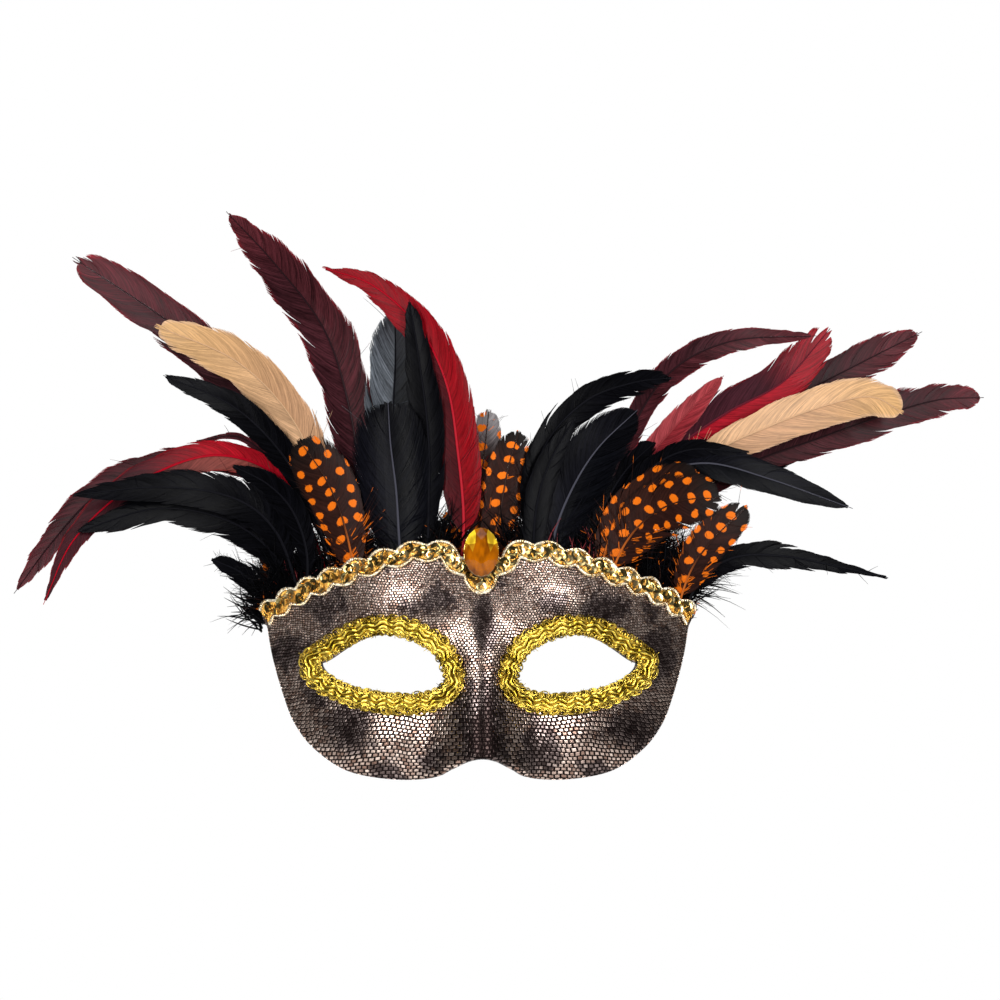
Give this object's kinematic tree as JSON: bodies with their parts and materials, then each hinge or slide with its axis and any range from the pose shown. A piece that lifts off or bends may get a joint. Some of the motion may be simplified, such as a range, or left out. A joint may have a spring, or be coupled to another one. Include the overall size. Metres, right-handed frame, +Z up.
{
  "type": "venetian masquerade mask",
  "caption": "Half-face masquerade mask: a fabric-covered moulded shell with braided eye holes, a sequin brow trim with an oval stone, and a fan of dyed feathers.",
  "frame": {"origin": "at the bridge of the wearer's nose, on the mask's centre plane, just behind the lining", "axes": "+X to the right of a viewer who faces the mask, +Y from the mask's front to the wearer's face, +Z up"},
  "size_m": [0.3676, 0.1291, 0.2133],
  "materials": {
    "shell_plastic": "satin black moulded plastic",
    "snakeskin_fabric": "bronze foil snakeskin print",
    "lining_felt": "black felt",
    "gold_braid": "yellow gold metallic gimp",
    "gold_cord": "gold metallic cord",
    "champagne_ribbon": "champagne metallic braid",
    "sequin_film": "metallized champagne film",
    "amber_stone": "clear amber acrylic, faceted",
    "stone_foil": "mirror foil",
    "pad_felt": "brown felt",
    "hot_glue": "set hot glue",
    "strip_felt": "black felt",
    "lug_plastic": "black moulded plastic",
    "feather_red": "dyed red feather",
    "feather_wine": "dyed burgundy feather",
    "feather_black": "dyed black feather",
    "feather_tan": "dyed tan feather",
    "feather_guinea": "guinea fowl feather with orange spots"
  },
  "bodies": {
    "root": {"mask_shell": "shell_plastic", "printed_cover": "snakeskin_fabric", "cover_hem": "snakeskin_fabric", "face_lining": "lining_felt", "eye_braid_left": "gold_braid", "eye_braid_right": "gold_braid", "eye_cords_left": "gold_cord", "eye_cords_right": "gold_cord", "brow_ribbon": "champagne_ribbon", "brow_edge_cords": "gold_cord", "brow_sequins": "sequin_film", "stone": "amber_stone", "stone_foil": "stone_foil", "stone_pad": "pad_felt", "quill_glue_bead": "hot_glue", "feather_backing_strip": "strip_felt", "elastic_lug_left": "lug_plastic", "elastic_lug_right": "lug_plastic", "feather_left_wine_high": "feather_wine", "feather_left_tan": "feather_tan", "feather_left_black_slim": "feather_black", "feather_left_wine_wisp": "feather_wine", "feather_left_red_arch": "feather_red", "feather_left_wine_droop": "feather_wine", "feather_left_black_droop_high": "feather_black", "feather_left_black_droop_low": "feather_black", "feather_left_black_curl": "feather_black", "feather_left_guinea_large": "feather_guinea", "feather_left_guinea_small": "feather_guinea", "feather_left_black_low": "feather_black", "feather_left_wine_tall": "feather_wine", "feather_left_red_tall": "feather_red", "feather_left_black_grey": "feather_black", "feather_left_black_broad": "feather_black", "feather_left_black_inner": "feather_black", "feather_centre_guinea_left": "feather_guinea", "feather_centre_guinea_tall": "feather_guinea", "feather_centre_guinea_right": "feather_guinea", "feather_right_black_sweep": "feather_black", "feather_right_wine_sweep": "feather_wine", "feather_right_black_broad": "feather_black", "feather_right_black_inner": "feather_black", "feather_right_black_mid": "feather_black", "feather_right_red_long": "feather_red", "feather_right_red_short": "feather_red", "feather_right_wine_high": "feather_wine", "feather_right_tan": "feather_tan", "feather_right_wine_outer": "feather_wine", "feather_right_black_under": "feather_black", "feather_right_black_arch": "feather_black", "feather_right_black_outer": "feather_black", "feather_right_guinea_large": "feather_guinea", "feather_right_guinea_upper": "feather_guinea", "feather_right_guinea_small": "feather_guinea", "feather_right_black_low": "feather_black"}
  },
  "joints": []
}
